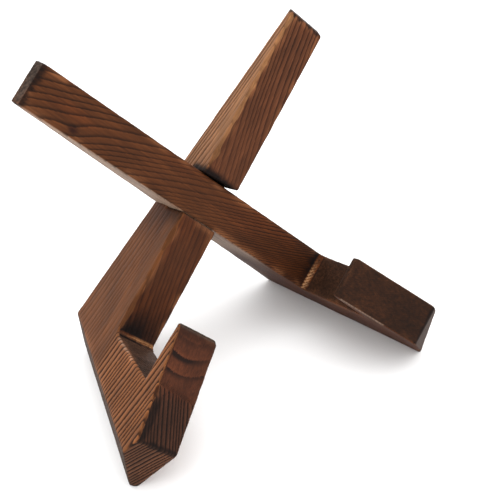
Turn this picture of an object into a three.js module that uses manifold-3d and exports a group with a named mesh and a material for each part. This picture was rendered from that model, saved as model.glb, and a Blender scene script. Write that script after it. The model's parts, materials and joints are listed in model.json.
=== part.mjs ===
// Book display stand: two identical-profile softwood boards that interlock as a leaning X.
// Each board is a tapering back arm with a forward foot, a notch for the book and a hook.
// Millimetres and degrees. +X is the reader's right, -Y is the front, +Z is up.
import * as THREE from 'three';
import { mergeVertices } from 'three/addons/utils/BufferGeometryUtils.js';
import Module from 'manifold-3d';

const wasm = await Module();
wasm.setup();

// ---- driving dimensions ----
const THICKNESS = 27; // both boards
const ARM_SPREAD = 44.3; // angle of each arm from the stand's centre line
const LEAN_BACK = 14.2; // the crossed arms lean back this far from upright
const EASE = 1.2; // rounding of the long arrises
const EASE_STEPS = 2; // facets in that rounding

// Board profile, from the crossing: [along the arm towards its tip, forward of the arm's front face]
const TIP_FRONT = [128, 0];
const TIP_BACK = [131.6, -6.2];
const HEEL = [-116.9, -70];
const TOE = [-162, 57.9];
const FOLD = [-134.1, 78];
const LEFT_HOOK_TOP = [[-73.2, 61.4], [-71.1, 57.3]]; // the two hooks' tops are sawn at different slopes
const RIGHT_HOOK_TOP = [[-74.5, 61.8], [-74.7, 57.1]];
const NOTCH_FRONT = [-106.3, 54.6];
const NOTCH_BACK = [-96.4, 4.3];
const ARM_FOOT = [-94.1, 0];

// Cross-lap joint. The right-foot board passes in front.
const LAP_DEPTH = 20; // wood the front board keeps, measured from its front face
const LAP_CLEARANCE = 0.3; // running gap on each touching face
const LAP_SKEW = 3.4; // the rear board's upper shoulder is cut this far out of square
const REAR_PROUD = 3.3; // the rear board's front face stands this far in front of the other's

// The outer bottom corner of each foot is sawn off by a nearly upright cut, made by eye.
const TRIM_DROP = 95; // depth below the crossing where the distances are measured
const LEFT_TRIM = { distance: 86.3, turn: 12.3, tilt: 2.9 }; // the cut turns in towards the back
const RIGHT_TRIM = { distance: 85.1, turn: 11.4, tilt: 5.3 };
const TRIM_TOP = -30; // the cut stops this far below the crossing, clear of the arms

const STANDING_FLAT = 2; // depth planed off each foot's lowest arris, so it sits flat
const BIG = 400; // larger than the stand, for cutting blocks

const BOARD_COLOUR = 0x5a3220;

// ---- directions of the leaning X ----
const lean = THREE.MathUtils.degToRad(LEAN_BACK);
const acrossDir = new THREE.Vector3(1, 0, 0);
const upSlopeDir = new THREE.Vector3(0, Math.sin(lean), Math.cos(lean));
const forwardDir = new THREE.Vector3(0, -Math.cos(lean), Math.sin(lean));

// Board frame: x along the arm, y forward, z through the thickness. tipSide is +1 or -1.
function boardMatrix(tipSide, proud) {
  const spread = THREE.MathUtils.degToRad(ARM_SPREAD);
  const along = acrossDir.clone().multiplyScalar(tipSide * Math.sin(spread));
  along.addScaledVector(upSlopeDir, Math.cos(spread));
  const through = along.clone().cross(forwardDir);
  const matrix = new THREE.Matrix4().makeBasis(along, forwardDir, through);
  return matrix.setPosition(forwardDir.clone().multiplyScalar(proud));
}

function toManifold(geometry) {
  const bare = geometry.clone();
  bare.deleteAttribute('normal');
  bare.deleteAttribute('uv');
  const merged = mergeVertices(bare, 1e-4);
  const mesh = new wasm.Mesh({
    numProp: 3,
    vertProperties: new Float32Array(merged.attributes.position.array),
    triVerts: new Uint32Array(merged.index.array),
  });
  return new wasm.Manifold(mesh);
}

function toGeometry(solid) {
  const mesh = solid.getMesh();
  const geometry = new THREE.BufferGeometry();
  geometry.setAttribute('position', new THREE.BufferAttribute(mesh.vertProperties, 3));
  geometry.setIndex(new THREE.BufferAttribute(mesh.triVerts, 1));
  const flat = geometry.toNonIndexed();
  flat.computeVertexNormals();
  return flat;
}

function block(width, depth, height, matrix) {
  return toManifold(new THREE.BoxGeometry(width, depth, height).applyMatrix4(matrix));
}

// The sawn board before any joint is cut: one outline through the thickness, arrises eased.
function sawnBoard(matrix, hookTop) {
  const outline = [TIP_FRONT, TIP_BACK, HEEL, TOE, FOLD, ...hookTop, NOTCH_FRONT, NOTCH_BACK, ARM_FOOT];
  const shape = new THREE.Shape(outline.map(([x, y]) => new THREE.Vector2(x, y)));
  const geometry = new THREE.ExtrudeGeometry(shape, {
    depth: THICKNESS - 2 * EASE,
    bevelEnabled: true,
    bevelThickness: EASE,
    bevelSize: EASE,
    bevelOffset: -EASE,
    bevelSegments: EASE_STEPS,
  });
  geometry.translate(0, 0, EASE - THICKNESS / 2);
  return toManifold(geometry.applyMatrix4(matrix));
}

// Slot across the back of the front board, which drops over the rear board.
function backSlot(rearMatrix) {
  const width = THICKNESS + 2 * LAP_CLEARANCE;
  const top = -LAP_DEPTH - REAR_PROUD;
  const placed = new THREE.Matrix4().makeTranslation(0, top - BIG / 2, 0);
  return block(BIG, BIG, width, rearMatrix.clone().multiply(placed));
}

// Slot across the front of the rear board, a little wider at its inner end above the front board.
function frontSlot(frontMatrix) {
  const half = THICKNESS / 2 + LAP_CLEARANCE;
  const floor = -LAP_DEPTH - LAP_CLEARANCE;
  const lower = new THREE.Matrix4().makeTranslation(0, floor + BIG / 2, 0);
  const straight = block(BIG, BIG, 2 * half, frontMatrix.clone().multiply(lower));
  // the skewed block turns about the shoulder's outer end
  const skew = new THREE.Matrix4().makeTranslation(THICKNESS / 2, floor + BIG / 2, half);
  skew.multiply(new THREE.Matrix4().makeRotationY(THREE.MathUtils.degToRad(LAP_SKEW)));
  skew.multiply(new THREE.Matrix4().makeTranslation(-BIG / 2, 0, -THICKNESS / 2));
  const skewed = block(BIG, BIG, THICKNESS, frontMatrix.clone().multiply(skew));
  return straight.add(skewed);
}

// Saw cut that removes a foot's outer bottom corner. footSide is +1 right, -1 left.
function cornerCut(footSide, trim) {
  const turn = THREE.MathUtils.degToRad(trim.turn);
  const tilt = THREE.MathUtils.degToRad(trim.tilt);
  const outward = new THREE.Vector3(footSide * Math.cos(turn), Math.sin(turn), -Math.sin(tilt));
  const spot = new THREE.Vector3(outward.x, outward.y, 0).multiplyScalar(trim.distance);
  spot.z = -TRIM_DROP;
  outward.normalize();
  const turned = new THREE.Quaternion().setFromUnitVectors(acrossDir, outward);
  const matrix = new THREE.Matrix4().makeRotationFromQuaternion(turned);
  matrix.setPosition(spot.addScaledVector(outward, BIG / 2));
  const footOnly = new THREE.Matrix4().makeTranslation(0, 0, TRIM_TOP - BIG / 2);
  return block(BIG, BIG, BIG, matrix).intersect(block(2 * BIG, 2 * BIG, BIG, footOnly));
}

// Height of the lowest arris of a solid.
function lowestPoint(solid) {
  return solid.boundingBox().min[2];
}

function planeFeet(solid, level) {
  const matrix = new THREE.Matrix4().makeTranslation(0, 0, level - BIG / 2);
  return solid.subtract(block(BIG, BIG, BIG, matrix));
}

function addBoard(group, name, solid) {
  const material = new THREE.MeshStandardMaterial({ color: BOARD_COLOUR, roughness: 0.75 });
  const mesh = new THREE.Mesh(toGeometry(solid), material);
  mesh.name = name;
  group.add(mesh);
}

// ---- assembly ----
const frontMatrix = boardMatrix(-1, 0); // foot to the right, tip to the left
const rearMatrix = boardMatrix(1, REAR_PROUD); // foot to the left, tip to the right

const frontCut = backSlot(rearMatrix).add(cornerCut(1, RIGHT_TRIM));
const rearCut = frontSlot(frontMatrix).add(cornerCut(-1, LEFT_TRIM));
const frontBoard = sawnBoard(frontMatrix, RIGHT_HOOK_TOP).subtract(frontCut);
const rearBoard = sawnBoard(rearMatrix, LEFT_HOOK_TOP).subtract(rearCut);

const floorLevel = Math.min(lowestPoint(frontBoard), lowestPoint(rearBoard)) + STANDING_FLAT;
const stand = new THREE.Group();
stand.name = 'book_display_stand';
addBoard(stand, 'right_foot_board', planeFeet(frontBoard, floorLevel));
addBoard(stand, 'left_foot_board', planeFeet(rearBoard, floorLevel));

// Origin at the middle of the footprint, on the table.
const bounds = new THREE.Box3().setFromObject(stand);
const centre = bounds.getCenter(new THREE.Vector3());
for (const mesh of stand.children) {
  mesh.geometry.translate(-centre.x, -centre.y, -bounds.min.z);
}

export default stand;
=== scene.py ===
# Looks of a book display stand: two crossed, scorched and wire-brushed softwood boards.
# Metres, +Z up, -Y towards the reader. Board coordinates are millimetres: along the arm towards
# its tip, forward of the arm's front face, and through the board's thickness.
import json
from math import cos, radians, sin
from types import SimpleNamespace

import bpy
import numpy as np
from mathutils import Matrix, Vector


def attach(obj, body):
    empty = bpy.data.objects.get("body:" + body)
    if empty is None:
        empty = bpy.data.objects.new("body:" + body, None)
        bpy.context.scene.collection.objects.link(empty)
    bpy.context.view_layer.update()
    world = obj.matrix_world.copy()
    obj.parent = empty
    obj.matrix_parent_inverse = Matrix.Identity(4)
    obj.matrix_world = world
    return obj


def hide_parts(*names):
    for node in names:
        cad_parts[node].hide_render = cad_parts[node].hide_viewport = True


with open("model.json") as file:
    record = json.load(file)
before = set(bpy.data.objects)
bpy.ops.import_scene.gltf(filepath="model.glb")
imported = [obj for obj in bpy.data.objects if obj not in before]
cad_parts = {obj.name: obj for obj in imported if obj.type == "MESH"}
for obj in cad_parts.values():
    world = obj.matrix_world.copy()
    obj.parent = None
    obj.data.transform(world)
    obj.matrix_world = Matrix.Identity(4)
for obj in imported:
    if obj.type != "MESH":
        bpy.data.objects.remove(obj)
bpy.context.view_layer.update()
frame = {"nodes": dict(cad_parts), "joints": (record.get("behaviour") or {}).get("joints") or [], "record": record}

MM = 0.001

# ---- the stand's layout, as in the CAD ----
HALF_THICKNESS = 13.5
ARM_SPREAD = radians(44.3)  # angle of each arm from the stand's centre line
REAR_PROUD = 3.3  # the left-foot board's front face stands this far in front of the other's
BOOK_REST_ALONG = 60  # the record's book rests lie this far up the arms from the crossing
SHOULDER_ALONG = 15.0  # the rear board's upper lap shoulder, at the board's right-hand side
LAP_FLOOR = -23.6  # how far forward the floor of the rear board's slot lies
OUTER_CORNER = 78  # the sawn corners of the feet lie further than this from the stand's middle

# Board profile points: [along, forward]
TIP_FRONT = np.array((128, 0))
TIP_BACK = np.array((131.6, -6.2))
HEEL = np.array((-116.9, -70))
TOE = np.array((-162, 57.9))
FOLD = np.array((-134.1, 78))
HOOK_TOP_OUTER = np.array((-74.5, 61.8))
NOTCH_FRONT = np.array((-106.3, 54.6))
NOTCH_BACK = np.array((-96.4, 4.3))
ARM_FOOT = np.array((-94.1, 0))
HOOK_FORWARD = 40  # the hook and the toe lie further forward than this
HOOK_FACE_FORWARD = 50  # and the hook's face lies further forward than this
TOE_FACE_ALONG = -125  # the toe's face lies further down than this
END_SLOPE = (TIP_BACK - TIP_FRONT)[0] / (TIP_BACK - TIP_FRONT)[1]  # the arm's end, along by forward
BACK_SLOPE = (TIP_BACK - HEEL)[1] / (TIP_BACK - HEEL)[0]  # the arm's back, forward by along

# ---- mesh density and edges ----
FINE_STEP = 0.54  # mesh step across the grain
GRAIN_STRETCH = 2.4  # the step along the grain is this many times longer
ROUNDING = 0.45  # spread of the smoothing that rounds the arrises
EDGE_SPREAD = 1.9  # spread of the smoothing that finds the arrises
ARRIS_RISE = 0.35  # a sharp arris stands this far out of that smoothing
CORNER_RADIUS = 2.6  # worn corners of the left-foot board's arm

# ---- the left-foot board's broken left-hand arris ----
WANE_WIDTH = 1.8  # its mean width
WANE_LEAST = 0.5  # width where the arris is broken least
WANED_SIDES = (  # from, to, length spared at the start, share of the full width
    (TIP_FRONT, ARM_FOOT, 0, 1.0),
    (HOOK_TOP_OUTER, FOLD, 30, 0.6),
)
BAND_PLACES = (-100, -88, 0, 15, 35, 100, 120)  # places along the side next to it
BAND_SHARES = (0, 1, 1, 0, 1, 1, 0)  # and how smooth the side is worn there

# ---- growth rings ----
RING_NARROWING = 5  # spread of the stretch in which they narrow
DARK_LINE = 0.68  # share of a ring at which its dark line lies
ARC_SPACING = 9  # of the arcs on the left-foot board's hook
ARC_ALONG = -87  # one of them crosses the middle of the board's thickness here
ARCS_STRONGEST = -89  # along the board
ARC_HALF_WIDTH = 13.2  # the arcs stop at this distance from the middle of the thickness
RING_LEVELS = (  # place in a ring, half its brightness there
    (0.0, 0.57), (0.35, 0.53), (0.6, 0.28), (0.71, 0.25), (0.79, 0.7), (0.9, 0.6), (1.0, 0.57),
)

# ---- the small knot near the right-foot board's tip ----
KNOT_ALONG = 96
KNOT_THROUGH = -8.8
KNOT_RADIUS = 3.2
KNOT_STRETCH = 1.5  # it is this many times longer along the grain
KNOT_BEND = 1.3  # it pushes the rings this far aside

# ---- unevenness of the surface ----
FIBRE_DEPTH = 0.05  # fine furrows along the grain
COARSE_DEPTH = 0.07  # pits in end grain, char and sawn corners
ARRIS_WEAR = 0.15  # nicks in the arrises
TUFT_HEIGHT = 0.5  # torn fibres on the notch step
TUFT_BED = 0.1  # the torn surface between them lies this deep

# ---- scorched and stained wood, with painted shadow, highlight and reflection, as displayed red, green and blue ----
# char, and also the painted shadow just below the lap
CHAR_AND_SHADE_COLOUR = (34, 27, 24)
# arrises rubbed through the stain, with a painted highlight along them
WORN_AND_HIGHLIT = (150, 98, 66)
# a scuffed rim, painted pale as a reflection of the bright floor
SCUFFED_AND_REFLECTING = (168, 146, 128)
SCORCHED_TIP = (84, 70, 62)
GLOW = (114, 61, 38)
KNOT = (44, 30, 24)
HAZE = 0.013  # light that the clear surface of the wood adds to any colour
LIGHT = 1.45  # light that falls on the boards' front faces

# ---- fine grain, in waves per millimetre along, forward and through ----
FIBRE_SCALE = (0.07, 2.4, 2.4)
STREAK_SCALE = (0.02, 0.8, 0.8)
BLOTCH_SCALE = (0.04, 0.1, 0.1)
SPECK_SCALE = (0.35, 0.55, 0.55)
FIBRE_SHADES = (0.68, 1.32)  # darkest and lightest factor on the colour
STREAK_SHADES = (0.82, 1.18)
BLOTCH_SHADES = (0.82, 1.14)
SPECK_STRENGTH = 3.0
RING_JITTER = 0.3  # how far the fibres fray the ring lines, as a share of a ring
DARKEST_LINE = 0.18  # least brightness of a ring line

# ---- gloss and bump of the wood ----
ROUGHNESS = (0.55, 0.7)  # from one fibre to the next
CHAR_AND_SHADOW_ROUGHNESS = 0.15  # added by the char, and where shadow is painted just below the lap
SPECULAR = 0.08
COAT = 0.05
COAT_ROUGHNESS = 0.35
BUMP_STRENGTH = 0.7
BUMP_HEIGHT = 0.15
RING_BUMP = 0.6  # height of the ring lines beside that of the fibres


def slanted_tufts(board):
    """Torn fibres across the notch step, one tuft beside the other."""
    _, forward, through = board.T
    slant = through - 1.4 * forward + 0.9 * noise(board, (5, 5, 5), 3)
    stroke = np.abs(np.sin(slant * np.pi / 2.4)) ** 2.2
    return stroke * smoothstep(2.9, 1.3, forward + 0.7 * noise(board, (3, 3, 1.6), 9))


def long_fibres(board):
    """Torn fibres that lie along the notch step."""
    return np.clip(0.2 + 1.2 * noise(board, (0.7, 0.7, 9), 4), 0, 1)


def hook_rim(board):
    """The edges of the hook's face, apart from their two ends."""
    along = board[:, 0]
    return (near_line(board, HOOK_TOP_OUTER, FOLD) < 2.0) & (along > -110) & (along < -78)


def floor_rim(board):
    """The edges of the notch floor."""
    return near_line(board, NOTCH_BACK, NOTCH_FRONT) < 1.6


RIGHT_LOOK = SimpleNamespace(
    seed=11,
    foot_side=1,
    ring_normal=(-0.25, 0.66, -0.70),  # direction across the growth rings
    wide_ring=2.4,
    fine_ring=0.95,
    fine_from=7,  # the rings have narrowed halfway here, measured along ring_normal
    tip_fade=0.3,  # share by which the rings flatten towards the tip
    relief=0.2,  # depth of the grooves brushed out between the rings
    front=(86, 54, 38),
    low_front=(68, 43, 31),
    side=(104, 70, 52),
    low_side=(80, 49, 36),
    foot_side_tone=(84, 51, 36),
    # pale tone for the arm's downward-facing side: a painted reflection of the bright floor
    painted_floor_reflection=(160, 134, 115),
    hook=(60, 42, 34),
    low_hook=(56, 40, 33),
    toe=(70, 50, 40),
    floor=(70, 50, 40),
    trim=(98, 73, 57),
    torn=(206, 156, 112),
    torn_dull=(98, 56, 34),
    torn_end=-1,  # the end of the notch step where the torn fibres are brightest
    torn_share=0.9,  # share of the notch step that is torn
    tuft=slanted_tufts,
    rim=hook_rim,
    rim_scuff_and_reflection=0.5,  # how pale the rim is painted: scuffed, and a painted reflection
    tip_char=4,  # length of the char at the arm's tip
    notch_char=6,  # length of the char above the notch
    char_end=1,  # the side of the board where that char is darkest
    char_and_shadow_strength=0,  # strength of the char around the lap and on the hook's low corner, and of the painted shadow below the lap
    hook_char=0.3,
    front_contrast=((-95, -50, 0, 40, 90), (1.9, 1.7, 0.8, 1.0, 1.25)),  # places along, strengths
    side_contrast=(0.5, 0.4, 1.0),  # upper arm, lower arm, foot
    hook_contrast=0.35,
    toe_contrast=0.8,
)

LEFT_LOOK = SimpleNamespace(
    seed=47,
    foot_side=-1,
    ring_normal=(-0.06, 0.213, -0.3125),
    wide_ring=2.6,
    fine_ring=1.9,
    fine_from=30,
    tip_fade=0,
    relief=0.3,
    front=(95, 60, 44),
    low_front=(74, 45, 33),
    # side tones: the wood's own colour, also painted lighter than the front because the light from above falls
    # more on this side
    side=(146, 102, 72),
    low_side=(106, 66, 42),
    foot_side_tone=(126, 80, 51),
    wane_places=(-104, -97, 15, 40),  # along the board
    wane_tones=((70, 45, 34), (102, 64, 41), (102, 64, 41), (154, 108, 73)),
    hook=(80, 50, 39),
    low_hook=(68, 47, 39),
    toe=(92, 62, 47),
    floor=(88, 66, 55),
    trim=(78, 59, 48),
    torn=(206, 148, 100),
    torn_dull=(94, 56, 37),
    torn_end=1,
    torn_share=0.62,
    tuft=long_fibres,
    rim=floor_rim,
    rim_scuff_and_reflection=0.36,
    tip_char=1.6,
    notch_char=14,
    char_end=-1,
    char_and_shadow_strength=1,
    hook_char=0.35,
    front_contrast=((-90, -30, 20, 90), (1.0, 0.6, 0.7, 1.2)),
    side_contrast=(1.2, 0.6, 2.0),
    hook_contrast=1.9,
    toe_contrast=2.6,
)

# ---- camera ----
CAMERA_PLACE = (-0.212979, -0.379083, 0.336943)
CAMERA_HEADING = radians(30.620)  # clockwise from +Y
CAMERA_DOWN = radians(30.193)
CAMERA_ROLL = radians(-2.666)
LENS = 60.08  # for a 36 mm wide sensor

# ---- studio ----
FLOOR_HALF_WIDTH = 3.0
FLOOR_GREY = 0.94
SKY_STRENGTH = 1.7
KEY_PLACE = (0.2, 0.25, 1.3)
KEY_SIZE = 1.8  # diameter
KEY_POWER = 4  # watts


# ---------------------------------------------------------------- board frames
def board_matrix(tip_side, proud):
    """Board coordinates in metres to the stand's frame."""
    # the boards slide apart straight forward
    forward = Vector(frame["joints"][0]["axis"]).normalized()
    up_slope = Vector((0, forward.z, -forward.y))
    mounts = {m["name"]: Vector(m["pos_m"]) for m in frame["record"]["mounts"]}

    def along(side):
        return Vector((side * sin(ARM_SPREAD), 0, 0)) + up_slope * cos(ARM_SPREAD)

    crossing = mounts["book_back_rest_left"] - along(-1) * BOOK_REST_ALONG * MM
    axis = along(tip_side)
    through = axis.cross(forward)
    matrix = Matrix((axis, forward, through)).transposed().to_4x4()
    matrix.translation = crossing + forward * proud * MM
    return matrix


# ---------------------------------------------------------------- numbers on a mesh
def read_points(mesh, what="co"):
    """One vector for each vertex: its place, or its normal."""
    out = np.empty(len(mesh.vertices) * 3, np.float32)
    mesh.vertices.foreach_get(what, out)
    return out.reshape(-1, 3).astype(float)


def read_edges(mesh):
    """The two vertices of each edge."""
    out = np.empty(len(mesh.edges) * 2, np.int32)
    mesh.edges.foreach_get("vertices", out)
    return out.reshape(-1, 2)


def write_points(mesh, points):
    mesh.vertices.foreach_set("co", points.astype(np.float32).ravel())
    mesh.update()


def store(mesh, name, values):
    """Keep one number or one vector for each vertex, for the material to read."""
    kind, field = ("FLOAT", "value") if values.ndim == 1 else ("FLOAT_VECTOR", "vector")
    layer = mesh.attributes.new(name, kind, "POINT")
    layer.data.foreach_set(field, values.astype(np.float32).ravel())


def smoothstep(low, high, x):
    """From 0 at low to 1 at high. low may be the larger one."""
    t = np.clip((x - low) / (high - low), 0, 1)
    return t * t * (3 - 2 * t)


def lattice(ix, iy, iz, seed):
    """A repeatable random number from -1 to 1 for each lattice point."""
    n = ix * 374761393 + iy * 668265263 + iz * 1440662683 + seed * 974711
    n = (n ^ (n >> 13)) & 0x7FFFFFFF
    n = (n * (n * n * 15731 + 789221) + 1376312589) & 0x7FFFFFFF
    return n / 0x3FFFFFFF - 1


def noise(points, size, seed):
    """Smooth noise from -1 to 1. size is the grain of the noise along each coordinate."""
    p = points / np.asarray(size, float)
    cell = np.floor(p).astype(np.int64)
    f = p - cell
    f = f * f * (3 - 2 * f)
    total = 0
    for dx in (0, 1):
        for dy in (0, 1):
            for dz in (0, 1):
                value = lattice(cell[:, 0] + dx, cell[:, 1] + dy, cell[:, 2] + dz, seed)
                weight = np.abs(1 - dx - f[:, 0])
                weight = weight * np.abs(1 - dy - f[:, 1]) * np.abs(1 - dz - f[:, 2])
                total = total + value * weight
    return total


def smoothed(points, edges, spread):
    """Points after an even smoothing of the surface, with that spread in the points' own unit."""
    a, b = edges[:, 0], edges[:, 1]
    square = np.maximum(((points[a] - points[b]) ** 2).sum(1), 1e-6)
    weight = 1 / square
    count = len(points)
    total = np.bincount(a, weight, count) + np.bincount(b, weight, count)
    step = 2 / np.median(total)  # spread squared that one full iteration adds, per axis
    rate = 0.8
    result = points.copy()
    for _ in range(max(1, round(spread**2 / (step * rate)))):
        for axis in range(3):
            x = result[:, axis]
            near = np.bincount(a, weight * x[b], count) + np.bincount(b, weight * x[a], count)
            result[:, axis] = x + rate * (near / total - x)
    return result


# ---------------------------------------------------------------- places on a board
def near_line(board, start, end):
    """Distance of each point from a line of the profile, through the whole thickness."""
    offset = board[:, :2] - start
    run = np.clip(offset @ (end - start) / ((end - start) @ (end - start)), 0, 1)
    return np.linalg.norm(offset - run[:, None] * (end - start), axis=1)


def outward_of(start, end):
    """Direction that the profile side from start to end faces."""
    run = (end - start) / np.linalg.norm(end - start)
    return np.array((run[1], -run[0]))


def near_point(board, point):
    """Distance of each point from a corner of the profile, through the whole thickness."""
    return np.linalg.norm(board[:, :2] - point, axis=1)


def facing(normal, start, end):
    """How squarely each point faces out of the profile side from start to end."""
    return normal[:, :2] @ outward_of(start, end)


# ---------------------------------------------------------------- the board's fine mesh
def dense_copy(node, name, to_stand):
    """The CAD solid with an even mesh, fine across the grain and longer along it."""
    mesh = frame["nodes"][node].data.copy()
    squeeze = Matrix.Diagonal((1 / GRAIN_STRETCH, 1, 1, 1))
    mesh.transform(squeeze @ to_stand.inverted())
    mesh.materials.clear()
    coarse = bpy.data.objects.new(name + "_coarse", mesh)
    bpy.context.scene.collection.objects.link(coarse)
    weld = coarse.modifiers.new("weld", "WELD")
    weld.merge_threshold = 0.02 * MM
    remesh = coarse.modifiers.new("remesh", "REMESH")
    remesh.mode = "VOXEL"
    remesh.voxel_size = FINE_STEP * MM
    graph = bpy.context.evaluated_depsgraph_get()
    dense = bpy.data.meshes.new_from_object(coarse.evaluated_get(graph))
    bpy.data.objects.remove(coarse)
    dense.transform(squeeze.inverted())
    dense.name = name
    return dense


def wane(board):
    """Break the left-hand arris of the front faces unevenly. Also gives where it is broken."""
    width = WANE_WIDTH + 1.9 * noise(board, (9, 30, 30), 21) + 1.0 * noise(board, (4, 20, 20), 22)
    width = np.maximum(width, WANE_LEAST)
    inset = board[:, 2] + HALF_THICKNESS
    result = board.copy()
    cut = np.zeros(len(board))
    for start, end, spared, share in WANED_SIDES:
        outward = outward_of(start, end)
        below = -(board[:, :2] - start) @ outward
        length = np.linalg.norm(end - start)
        run = (board[:, :2] - start) @ (end - start) / length
        inside = smoothstep(spared, spared + 3, run) * smoothstep(0, 3, length - run)
        depth = inside * (below > -0.8) * np.maximum(share * width - below - inset, 0) / 2
        result[:, :2] -= depth[:, None] * outward
        result[:, 2] += depth
        cut = np.maximum(cut, depth)
    return result, smoothstep(0.02, 0.25, cut)


def smooth_band(board):
    """Where the left-foot board's left side is worn smooth, beside the broken arris."""
    along, forward, through = board.T
    arm_depth = -(TIP_BACK[1] + BACK_SLOPE * (along - TIP_BACK[0]))
    # how far back the point lies, as a share of the arm's depth
    share = -forward / arm_depth + 0.12 * noise(board, (22, 9, 9), 24)
    # the band is wider above the lap
    limit = np.interp(along, (15, 40), (0.36, 0.46))
    present = np.interp(along, BAND_PLACES, BAND_SHARES)
    left_side = (through < -12) & (forward < 0.5)
    return smoothstep(limit, limit - 0.16, share) * present * left_side


def round_corner(board, corner_along, side):
    """Round the arm's right-hand corner there. side is 1 where the wood lies up the arm from it,
    and -1 where it lies down the arm."""
    u = side * (board[:, 0] - corner_along)
    v = HALF_THICKNESS - board[:, 2]
    near = (u < CORNER_RADIUS) & (v < CORNER_RADIUS) & (u > -3) & (board[:, 1] > LAP_FLOOR)
    from_centre = np.stack((CORNER_RADIUS - u, CORNER_RADIUS - v))
    reach = np.maximum(np.linalg.norm(from_centre, axis=0), CORNER_RADIUS)
    shift = from_centre * (1 - CORNER_RADIUS / reach) * near
    result = board.copy()
    result[:, 0] += side * shift[0]
    result[:, 2] -= shift[1]
    return result


# ---------------------------------------------------------------- growth rings
def ring_count(board, look):
    """How many growth rings lie between the board's origin and each point."""
    along, forward, through = board.T
    fade = 1 - look.tip_fade * smoothstep(20, 128, along)
    ring_normal = np.array(look.ring_normal) / np.linalg.norm(look.ring_normal)
    across = ring_normal @ (along, forward, through * fade)
    across = across + 1.6 * noise(board, (80, 40, 40), look.seed)
    if look is RIGHT_LOOK:
        across = across - KNOT_BEND * np.exp(-0.5 * (from_knot(board) / (1.6 * KNOT_RADIUS)) ** 2)
    # the rings narrow gradually, from wide_ring to fine_ring
    gain = 1 / look.fine_ring - 1 / look.wide_ring
    narrowed = RING_NARROWING * np.logaddexp(0, (across - look.fine_from) / RING_NARROWING)
    count = across / look.wide_ring + gain * narrowed
    count += 0.1 * noise(board, (22, 7, 7), look.seed + 1)
    return count + 0.3 * np.sin(count * 0.9 + look.seed)


def from_knot(board):
    """Distance from the small knot near the right-foot board's tip, drawn out along the grain."""
    along, forward, through = board.T
    run = (along - KNOT_ALONG) / KNOT_STRETCH
    inward = 0.3 * forward  # the knot runs far into the board
    return np.sqrt(run**2 + inward**2 + (through - KNOT_THROUGH) ** 2)


def arc_share(board):
    """Where the left-foot hook's face shows arcs, because the rings lie nearly flat to it."""
    along, _, through = board.T
    upper = smoothstep(-106, -102, along + 0.12 * through)
    inner = smoothstep(ARC_HALF_WIDTH, ARC_HALF_WIDTH - 0.6, np.abs(through))
    return upper * inner * smoothstep(7, 3, near_line(board, FOLD, HOOK_TOP_OUTER))


def hook_arcs(board, count):
    """The ring count with arcs in place of straight rings on the left-foot hook's face."""
    along, _, through = board.T
    share = arc_share(board)
    rise = 0.17 * through + 0.02 * through**2 + 0.5 * noise(board, (9, 9, 9), 5)
    arcs = DARK_LINE + (along - ARC_ALONG - rise) / ARC_SPACING
    return count * (1 - share) + arcs * share


def arc_contrast(board):
    """How strongly the arcs show: most around one place along the hook, and towards its left."""
    along, _, through = board.T
    nearness = np.exp(-(((along - ARCS_STRONGEST) / ARC_SPACING) ** 2))
    return nearness * (2.9 - 1.7 * smoothstep(-9, 8, through))


def groove(count):
    """Depth of the brushed-out early wood, from 0 on a ridge to 1 in the groove."""
    phase = count - np.floor(count)
    return smoothstep(0.45, 0.7, phase) * smoothstep(0.98, 0.78, phase)


# ---------------------------------------------------------------- painting the surface features
def tone(shown):
    """Linear base colour of a displayed red, green and blue, less the haze of the bright studio."""
    value = np.array(shown) / 255
    value = np.where(value <= 0.04045, value / 12.92, ((value + 0.055) / 1.055) ** 2.4)
    return np.maximum((value - HAZE) / LIGHT, 0.001)


def blend_tone(base, shown, share):
    """The base colours, changed to a displayed colour by that share."""
    return base + (tone(shown) - base) * np.clip(share, 0, 1)[:, None]


def find_faces(board, normal, stand_x, stand_normal_x, look):
    """How much each point belongs to each kind of face, from 0 to 1."""
    along, forward, _ = board.T
    face = SimpleNamespace()
    face.side = smoothstep(0.45, 0.8, np.abs(normal[:, 2]))
    face.end = smoothstep(0.55, 0.85, np.abs(normal[:, 0]))
    hook = smoothstep(0.8, 0.93, facing(normal, HOOK_TOP_OUTER, FOLD))
    face.hook = hook * (forward > HOOK_FACE_FORWARD)
    face.toe = smoothstep(0.8, 0.93, facing(normal, FOLD, TOE)) * (along < TOE_FACE_ALONG)
    outer_corner = look.foot_side * stand_x > OUTER_CORNER * MM
    face.trim = smoothstep(0.88, 0.95, look.foot_side * stand_normal_x) * outer_corner
    from_floor = near_line(board, NOTCH_BACK, NOTCH_FRONT)
    face.floor = smoothstep(1.2, 0.4, from_floor) * (1 - face.side)
    face.foot = smoothstep(-4, 2, forward)
    return face


def torn_step(board, face, look):
    """The step above the notch floor, where the saw tore the fibres out."""
    step = NOTCH_BACK - ARM_FOOT
    across = (board[:, :2] - ARM_FOOT) @ step / (step @ step)
    torn = smoothstep(1.0, 0.3, near_line(board, ARM_FOOT, NOTCH_BACK)) * (1 - face.side)
    return torn * smoothstep(look.torn_share, look.torn_share - 0.3, across)


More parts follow.
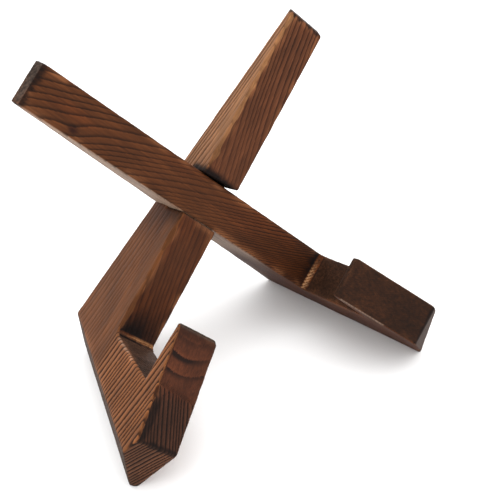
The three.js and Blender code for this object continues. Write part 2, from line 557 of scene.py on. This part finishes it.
def charring_and_lap_shadow(board, face, torn, look):
    """How burnt each point is, from 0 to 1, with a painted shadow just below the lap that darkens like char."""
    along, forward, through = board.T
    ragged = noise(board, (7, 2.2, 2.2), look.seed + 5)
    top_end = smoothstep(look.tip_char, 0.0, TIP_FRONT[0] - along + 1.8 * ragged) * (1 - face.end)
    above_notch = smoothstep(1.6, 0.1, (along - ARM_FOOT[0]) / look.notch_char + 0.3 * ragged)
    above_notch = above_notch * (1 - face.side) * (1 - torn) * (np.abs(forward) < 6) * (along > -96)
    darkest_side = smoothstep(-13, 2, look.char_end * through + 3 * ragged)
    above_notch = above_notch * (0.45 + 0.55 * darkest_side)
    from_shoulder = along - SHOULDER_ALONG
    shoulder = smoothstep(4.5, 0.5, from_shoulder + ragged + 0.08 * through)
    shoulder = shoulder * (from_shoulder > -3) * (forward > -19)
    hook_top = smoothstep(-80, -75, along + 2 * ragged) * (forward > HOOK_FORWARD)
    hook_top = hook_top * (1 - 0.7 * face.side)
    # painted shadow of the right-foot board on the left-foot board's side, just below the lap
    painted_shadow_under_lap = smoothstep(-27, -15, along) * smoothstep(-40, -4, forward) * (along < 0)
    fold = smoothstep(2.6, 0.8, near_point(board, FOLD) + 0.8 * ragged)
    low_corner = smoothstep(-6, -10, through + 2 * ragged) * smoothstep(-108, -114, along)
    return np.maximum.reduce([
        0.85 * top_end,
        0.95 * above_notch,
        0.95 * look.char_and_shadow_strength * shoulder,
        0.6 * look.char_and_shadow_strength * painted_shadow_under_lap * face.side,
        look.hook_char * hook_top,
        0.8 * fold * (1 - face.side),
        0.75 * look.char_and_shadow_strength * low_corner * face.hook,
        0.2 * face.end,
    ])


def ring_contrast(board, face, char_and_shadow, torn, look):
    """How strongly the growth rings show."""
    along = board[:, 0]
    upper, lower, foot = look.side_contrast
    side = lower + (upper - lower) * smoothstep(-15, 30, along)
    side = side + (foot - side) * face.foot
    contrast = np.interp(along, *look.front_contrast)
    contrast = contrast + (side - contrast) * face.side
    arcs = arc_share(board) if look is LEFT_LOOK else 0
    contrast = contrast + (look.hook_contrast - contrast) * face.hook * (1 - arcs)
    contrast = contrast + (arc_contrast(board) - contrast) * face.hook * arcs
    contrast = contrast + (look.toe_contrast - contrast) * face.toe
    # on the notch floor the rings show best near the hook
    by_hook = smoothstep(34, 24, near_point(board, NOTCH_FRONT))
    contrast = contrast + (0.4 + 1.2 * by_hook - contrast) * np.maximum(face.floor, face.end)
    contrast = contrast + (0.8 - contrast) * face.trim
    return contrast * (1 - 0.6 * char_and_shadow) * (1 - torn)


def stained_colour(board, face, normal, look):
    """Colour of each face's stain, with painted light on the side faces, a painted reflection on the right-foot
    arm's downward side, and a painted shadow below the left-foot lap.
    """
    along = board[:, 0]
    colour = np.repeat(tone(look.front)[None, :], len(board), 0)
    colour = blend_tone(colour, look.low_front, smoothstep(5, -95, along))
    glow = smoothstep(0.15, 0.8, noise(board, (34, 12, 12), look.seed + 9))
    colour = blend_tone(colour, GLOW, 0.22 * glow * smoothstep(-90, -40, along))
    colour = blend_tone(colour, look.hook, face.hook)
    colour = blend_tone(colour, look.low_hook, face.hook * smoothstep(-104, -112, along))
    colour = blend_tone(colour, look.toe, face.toe)
    # side tones: the wood's own colour, and on the left-foot board also painted lighter, as its visible side faces
    # up towards the light
    colour = blend_tone(colour, look.side, face.side)
    colour = blend_tone(colour, look.low_side, face.side * smoothstep(12, -12, along))
    colour = blend_tone(colour, look.foot_side_tone, face.side * face.foot)
    if look is RIGHT_LOOK:
        # painted reflection of the bright floor on the upper arm's downward-facing side
        painted_floor_reflection = face.side * (normal[:, 2] < 0) * smoothstep(-70, -30, along)
        colour = blend_tone(colour, look.painted_floor_reflection, painted_floor_reflection)
    else:
        # painted shadow of the right-foot board, darkening the left-foot board just below the lap
        painted_shadow_below_lap = smoothstep(-45, -16, along) * (along < 0)
        colour = blend_tone(colour, look.low_front, 0.6 * painted_shadow_below_lap)
    colour = blend_tone(colour, look.floor, np.maximum(face.end, face.floor))
    colour = blend_tone(colour, SCORCHED_TIP, face.end * smoothstep(100, 120, along))
    return blend_tone(colour, look.trim, face.trim)


def bare_colour(board, look):
    """Colour of the broken arris, which changes along the board."""
    tones = tone(look.wane_tones)
    along = board[:, 0]
    return np.stack([np.interp(along, look.wane_places, tones[:, i]) for i in range(3)], 1)


def paint_torn(colour, board, torn, look):
    """The torn step, with bright fibres towards one end of it."""
    towards_end = look.torn_end * board[:, 2]
    dull = torn * (0.6 + 0.4 * smoothstep(-14, 4, towards_end))
    colour = blend_tone(colour, look.torn_dull, dull)
    bright = look.tuft(board) * smoothstep(-12, 8, towards_end)
    return blend_tone(colour, look.torn, torn * bright)


def paint_wear_and_edge_light(colour, board, arris, torn, bare, look):
    """Arrises that are rubbed through the stain and carry a painted highlight, and a scuffed rim on the board's
    left side that is painted pale as a reflection of the bright floor.
    """
    _, forward, through = board.T
    mottle = noise(board, (9, 9, 9), look.seed + 6)
    # lighter arrises: worn through the stain, and a painted highlight
    worn_and_highlit = np.clip(arris, 0, 1) * smoothstep(-0.3, 0.6, mottle) * (1 - torn) * (1 - bare)
    colour = blend_tone(colour, WORN_AND_HIGHLIT, (0.45 - 0.3 * (forward > HOOK_FORWARD)) * worn_and_highlit)
    # scuffed rim, painted pale as a reflection of the bright floor
    scuffed_and_reflecting = smoothstep(0.2, 0.7, arris) * smoothstep(-12.7, -13.2, through) * look.rim(board)
    if look is LEFT_LOOK:
        spots = mottle + noise(board, (2, 2, 2), 8) > 0.2
        scuffed_and_reflecting = scuffed_and_reflecting * spots
    return blend_tone(colour, SCUFFED_AND_REFLECTING, look.rim_scuff_and_reflection * scuffed_and_reflecting)


def surface_colour(board, face, normal, arris, torn, bare, char_and_shadow, look):
    """Colour of each point, with its stain, wear, torn fibres and char, and with painted shadow, highlights and
    reflections.
    """
    colour = stained_colour(board, face, normal, look)
    if look is LEFT_LOOK:
        colour += (bare_colour(board, look) - colour) * bare[:, None]
    colour = paint_torn(colour, board, torn, look)
    colour = paint_wear_and_edge_light(colour, board, arris, torn, bare, look)
    if look is RIGHT_LOOK:
        knot = from_knot(board) + noise(board, (4, 2, 2), 31)
        colour = blend_tone(colour, KNOT, 0.8 * smoothstep(KNOT_RADIUS, 0.5, knot))
    # char, and the painted shadow below the lap, in the char colour
    return blend_tone(colour, CHAR_AND_SHADE_COLOUR, char_and_shadow)


# ---------------------------------------------------------------- one finished board
def worn_shape(mesh, edges, look):
    """The board's points with rounded and broken arrises. Also gives where its surface is bare."""
    board = smoothed(read_points(mesh) / MM, edges, ROUNDING)
    if look is RIGHT_LOOK:
        return board, np.zeros(len(board))
    board, broken = wane(board)
    bare = np.maximum(broken, 0.75 * smooth_band(board))
    board = round_corner(board, SHOULDER_ALONG, 1)
    board = round_corner(board, TIP_FRONT[0] + END_SLOPE * board[:, 1], -1)
    return board, bare


def relief(board, count, contrast, arris, torn, coarse, look):
    """How far each point lies below the smooth surface."""
    arris = np.clip(arris, 0, 1)
    # rings that are too narrow for the mesh are hardly cut into it
    width = np.where(board @ look.ring_normal > look.fine_from, look.fine_ring, look.wide_ring)
    depth = look.relief * groove(count) * np.minimum(contrast, 1.3) * smoothstep(0.8, 1.6, width)
    depth *= 1 - 0.6 * arris
    depth += FIBRE_DEPTH * noise(board, (14, 0.9, 0.9), look.seed + 2)
    wander = noise(board, (11, 12, 12), look.seed + 3)
    wander += 0.7 * noise(board, (4.5, 9, 9), look.seed + 4)
    depth += ARRIS_WEAR * arris * smoothstep(-0.4, 0.9, wander)
    depth -= torn * (TUFT_HEIGHT * look.tuft(board) - TUFT_BED)
    depth += COARSE_DEPTH * noise(board, (1.8, 1.4, 1.4), look.seed + 8) * coarse
    return depth


def make_board(node, name, to_stand, look):
    """A finely meshed board, with the numbers that its material reads at each vertex."""
    mesh = dense_copy(node, name, to_stand)
    edges = read_edges(mesh)
    board, bare = worn_shape(mesh, edges, look)
    write_points(mesh, board * MM)
    normal = read_points(mesh, "normal")
    wide = smoothed(board, edges, EDGE_SPREAD)
    arris = np.clip(-((wide - board) * normal).sum(1) / ARRIS_RISE, -1, 1)

    count = ring_count(board, look)
    if look is LEFT_LOOK:
        count = hook_arcs(board, count)
    to_x = np.array(to_stand)[0]
    stand_x = board @ to_x[:3] * MM + to_x[3]
    face = find_faces(board, normal, stand_x, normal @ to_x[:3], look)
    torn = torn_step(board, face, look)
    char_and_shadow = charring_and_lap_shadow(board, face, torn, look)
    contrast = ring_contrast(board, face, char_and_shadow, torn, look) * (1 - 0.85 * bare)
    colour = surface_colour(board, face, normal, arris, torn, bare, char_and_shadow, look)
    coarse = np.maximum(char_and_shadow, np.maximum(face.end, face.hook * (1 - look.hook_contrast)))
    coarse = np.clip(np.maximum(coarse, 0.5 * face.trim), 0, 1)

    depth = relief(board, count, contrast, arris, torn, coarse, look)
    write_points(mesh, (board - normal * depth[:, None]) * MM)
    for attribute, values in (
        ("ring", count), ("contrast", contrast), ("char_and_shadow", char_and_shadow), ("coarse", coarse),
        ("board", board), ("tone", colour),
    ):
        store(mesh, attribute, values)
    mesh.transform(to_stand)
    for polygon in mesh.polygons:
        polygon.use_smooth = True
    piece = bpy.data.objects.new(name, mesh)
    bpy.context.scene.collection.objects.link(piece)
    return piece


# ---------------------------------------------------------------- material nodes
class Graph:
    """Short calls for building a node material."""

    def __init__(self, name):
        self.material = bpy.data.materials.new(name)
        self.material.use_nodes = True
        self.tree = self.material.node_tree
        self.shader = self.tree.nodes["Principled BSDF"]

    def put(self, socket, value):
        if isinstance(value, bpy.types.NodeSocket):
            self.tree.links.new(value, socket)
        else:
            socket.default_value = value

    def node(self, kind, **settings):
        made = self.tree.nodes.new(kind)
        for key, value in settings.items():
            setattr(made, key, value)
        return made

    def attribute(self, name, output="Fac"):
        return self.node("ShaderNodeAttribute", attribute_name=name).outputs[output]

    def math(self, operation, a, b=0.0, c=0.0):
        made = self.node("ShaderNodeMath", operation=operation)
        for socket, value in zip(made.inputs, (a, b, c)):
            self.put(socket, value)
        return made.outputs[0]

    def remap(self, value, low, high, to_low, to_high):
        made = self.node("ShaderNodeMapRange", interpolation_type="SMOOTHSTEP")
        for socket, x in zip(made.inputs, (value, low, high, to_low, to_high)):
            self.put(socket, x)
        return made.outputs[0]

    def multiply(self, a, b):
        """One colour multiplied by another."""
        made = self.node("ShaderNodeMix", data_type="RGBA", blend_type="MULTIPLY")
        # the colour sockets follow the float and vector ones
        self.put(made.inputs[0], 1.0)
        self.put(made.inputs[6], a)
        self.put(made.inputs[7], b)
        return made.outputs[2]

    def grain(self, board, scale, detail, roughness=0.5):
        """Noise with a different number of waves per millimetre along each board coordinate."""
        scaled = self.node("ShaderNodeVectorMath", operation="MULTIPLY")
        self.put(scaled.inputs[0], board)
        self.put(scaled.inputs[1], scale)
        made = self.node("ShaderNodeTexNoise")
        self.put(made.inputs["Vector"], scaled.outputs[0])
        self.put(made.inputs["Scale"], 1.0)
        self.put(made.inputs["Detail"], detail)
        self.put(made.inputs["Roughness"], roughness)
        return made.outputs["Fac"]


def grey(g, value):
    """The same value for red, green and blue."""
    made = g.node("ShaderNodeCombineColor")
    for socket in made.inputs:
        g.put(socket, value)
    return made.outputs[0]


def ring_shade(g, phase):
    """Brightness through one growth ring: plain, a dark line, a light lip, and plain again."""
    made = g.node("ShaderNodeValToRGB")
    ramp = made.color_ramp
    while len(ramp.elements) < len(RING_LEVELS):
        ramp.elements.new(0.5)
    for element, (place, level) in zip(ramp.elements, RING_LEVELS):
        element.position = place
        element.color = (level, level, level, 1)
    g.put(made.inputs[0], phase)
    return g.math("MULTIPLY", made.outputs[0], 2.0)


def add_variation(g, shade, board, fibre):
    """Blotches, fibres, streaks and specks, each multiplied into the shade."""
    blotch = g.grain(board, BLOTCH_SCALE, 3.0)
    streak = g.grain(board, STREAK_SCALE, 2.0)
    speck = g.grain(board, SPECK_SCALE, 3.0, 0.65)
    shade = g.math("MULTIPLY", shade, g.remap(blotch, 0.3, 0.7, *BLOTCH_SHADES))
    shade = g.math("MULTIPLY", shade, g.remap(fibre, 0.2, 0.8, *FIBRE_SHADES))
    shade = g.math("MULTIPLY", shade, g.remap(streak, 0.25, 0.75, *STREAK_SHADES))
    speck = g.math("MULTIPLY", g.math("SUBTRACT", speck, 0.5), g.attribute("coarse"))
    return g.math("MULTIPLY", shade, g.math("MULTIPLY_ADD", speck, SPECK_STRENGTH, 1.0))


def wood_material(name):
    """Brushed wood: each vertex's tone, shaded by its growth rings and finer grain."""
    g = Graph(name)
    board = g.attribute("board", "Vector")
    contrast = g.attribute("contrast")
    fibre = g.grain(board, FIBRE_SCALE, 3.0, 0.6)
    jitter = g.math("MULTIPLY", g.math("SUBTRACT", fibre, 0.5), RING_JITTER)
    ring = ring_shade(g, g.math("FRACT", g.math("ADD", g.attribute("ring"), jitter)))
    shade = g.math("ADD", g.math("MULTIPLY", g.math("SUBTRACT", ring, 1.0), contrast), 1.0)
    shade = g.math("MAXIMUM", shade, DARKEST_LINE)
    shade = add_variation(g, shade, board, fibre)
    colour = g.multiply(g.attribute("tone", "Vector"), grey(g, shade))
    g.put(g.shader.inputs["Base Color"], colour)
    rough = g.remap(fibre, 0.2, 0.8, *ROUGHNESS)
    rough_from_char_and_shadow = g.math("MULTIPLY", g.attribute("char_and_shadow"), CHAR_AND_SHADOW_ROUGHNESS)
    g.put(g.shader.inputs["Roughness"], g.math("ADD", rough, rough_from_char_and_shadow))
    g.shader.inputs["Specular IOR Level"].default_value = SPECULAR
    g.shader.inputs["Coat Weight"].default_value = COAT
    g.shader.inputs["Coat Roughness"].default_value = COAT_ROUGHNESS
    bump = g.node("ShaderNodeBump")
    bump.inputs["Strength"].default_value = BUMP_STRENGTH
    bump.inputs["Distance"].default_value = BUMP_HEIGHT * MM
    ring_height = g.math("MULTIPLY", g.math("MULTIPLY", ring, contrast), RING_BUMP)
    g.put(bump.inputs["Height"], g.math("ADD", fibre, ring_height))
    g.put(g.shader.inputs["Normal"], bump.outputs[0])
    return g.material


# ---------------------------------------------------------------- stage
def make_floor():
    """A plain pale floor."""
    mesh = bpy.data.meshes.new("floor")
    half = FLOOR_HALF_WIDTH
    corners = [(-half, -half, 0), (half, -half, 0), (half, half, 0), (-half, half, 0)]
    mesh.from_pydata(corners, [], [(0, 1, 2, 3)])
    floor = bpy.data.objects.new("floor", mesh)
    bpy.context.scene.collection.objects.link(floor)
    g = Graph("floor")
    g.put(g.shader.inputs["Base Color"], (FLOOR_GREY, FLOOR_GREY, FLOOR_GREY, 1))
    g.put(g.shader.inputs["Roughness"], 0.9)
    mesh.materials.append(g.material)


def make_lights():
    """A bright even sky, and one large lamp above and behind the stand."""
    world = bpy.data.worlds.new("studio")
    world.use_nodes = True
    background = world.node_tree.nodes["Background"]
    background.inputs["Color"].default_value = (1, 1, 1, 1)
    background.inputs["Strength"].default_value = SKY_STRENGTH
    bpy.context.scene.world = world

    data = bpy.data.lights.new("key", "AREA")
    data.shape = "DISK"
    data.size = KEY_SIZE
    data.energy = KEY_POWER
    key = bpy.data.objects.new("key", data)
    key.location = KEY_PLACE
    key.rotation_euler = (-Vector(KEY_PLACE)).to_track_quat("-Z", "Y").to_euler()
    bpy.context.scene.collection.objects.link(key)


def make_camera():
    data = bpy.data.cameras.new("camera")
    data.lens = LENS
    data.clip_start = 0.01
    camera = bpy.data.objects.new("camera", data)
    turn = Matrix.Rotation(-CAMERA_HEADING, 4, "Z")
    turn = turn @ Matrix.Rotation(radians(90) - CAMERA_DOWN, 4, "X")
    turn = turn @ Matrix.Rotation(CAMERA_ROLL, 4, "Z")
    camera.matrix_world = Matrix.Translation(CAMERA_PLACE) @ turn
    bpy.context.scene.collection.objects.link(camera)
    bpy.context.scene.camera = camera


make_camera()
make_lights()
make_floor()
bpy.context.scene.view_settings.view_transform = "Standard"

BOARDS = (  # node, side of the tip, how far it stands in front, look
    ("right_foot_board", -1, 0, RIGHT_LOOK),
    ("left_foot_board", 1, REAR_PROUD, LEFT_LOOK),
)
for node, tip_side, proud, look in BOARDS:
    piece = make_board(node, node + "_wood", board_matrix(tip_side, proud), look)
    piece.data.materials.append(wood_material(node + "_wood"))
    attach(piece, node)
    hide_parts(node)
